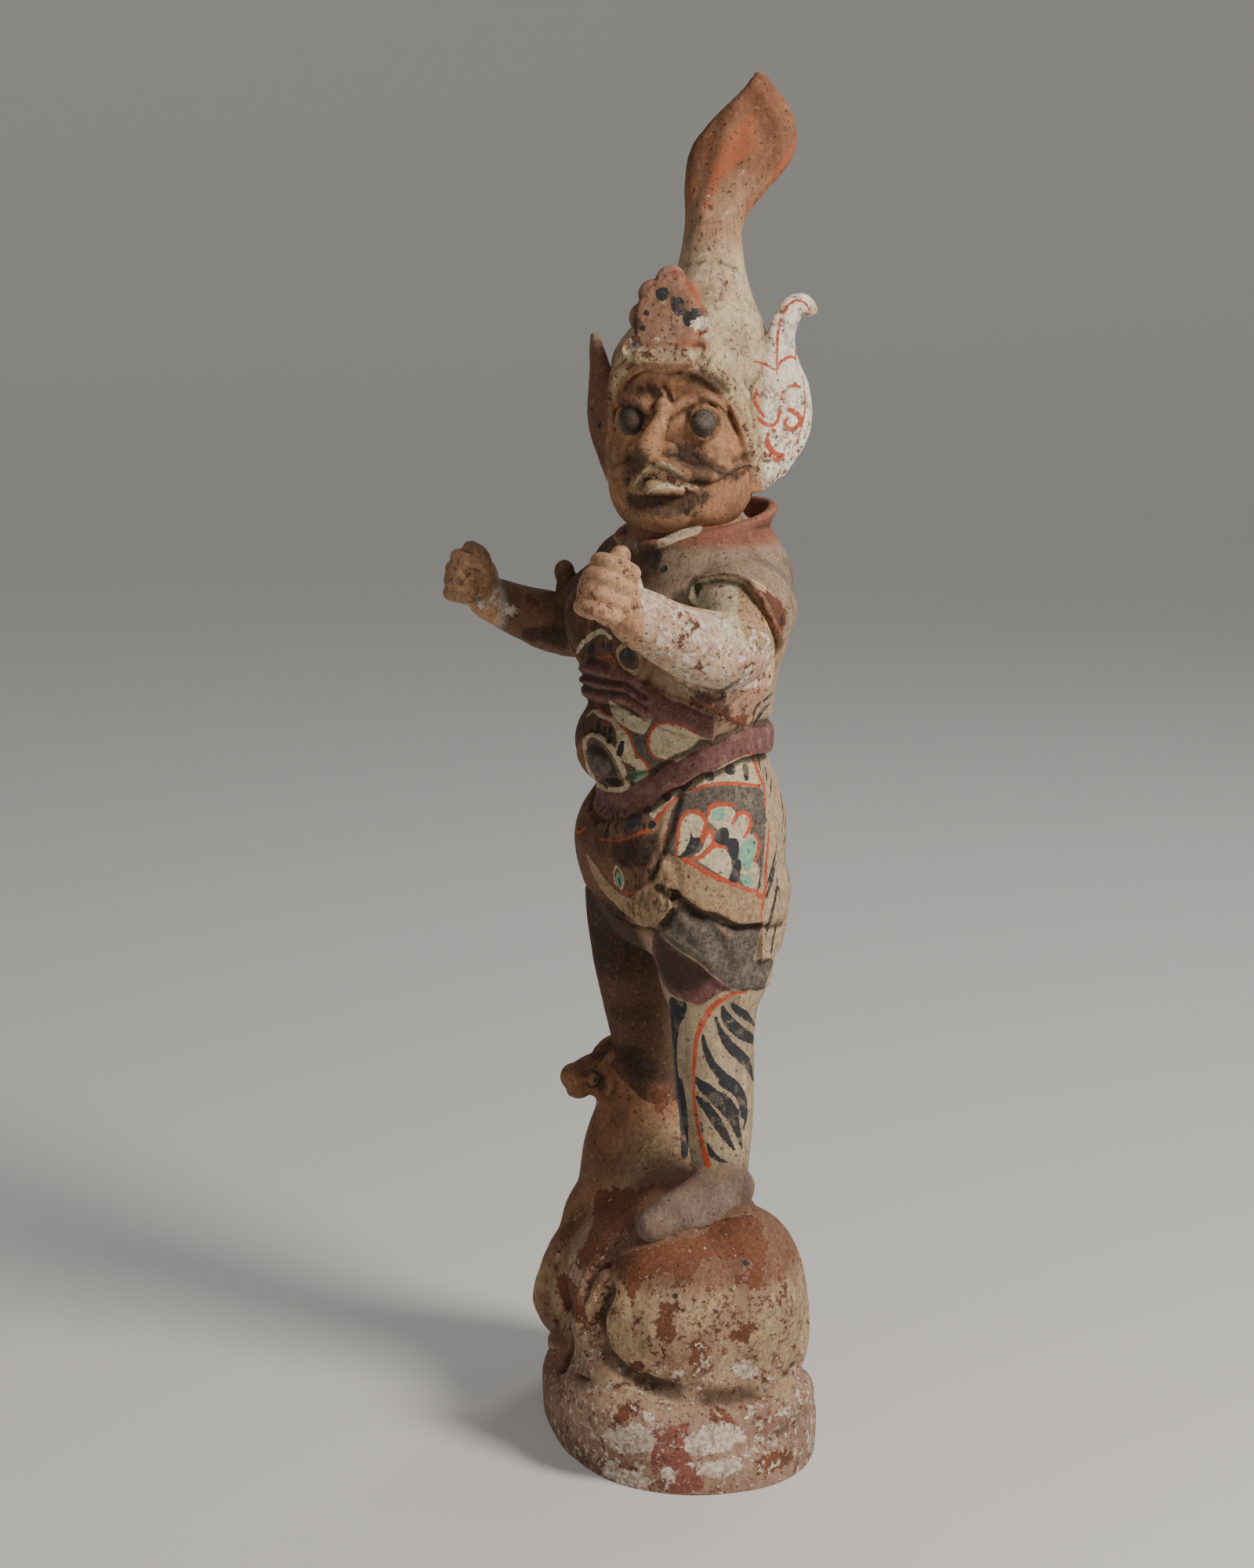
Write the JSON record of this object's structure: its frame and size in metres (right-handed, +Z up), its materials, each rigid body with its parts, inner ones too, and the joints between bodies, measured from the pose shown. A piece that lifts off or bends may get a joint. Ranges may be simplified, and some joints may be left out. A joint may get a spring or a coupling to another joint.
{
  "type": "tomb guardian figure",
  "caption": "Painted pottery tomb guardian: an armoured figure with a tall plume and raised fists stands on a recumbent ox with a low oval plinth.",
  "frame": {"origin": "on the underside of the plinth, below the middle of the figure", "axes": "+Z up, -Y the way the figure's chest faces, +X to the figure's left"},
  "size_m": [0.2745, 0.2043, 0.7992],
  "materials": {
    "painted_earthenware": "matt fired earthenware with worn white slip and unfired pigments: cream, red-brown, orange and black"
  },
  "bodies": {
    "root": {"tomb_guardian": "painted_earthenware"}
  },
  "joints": []
}
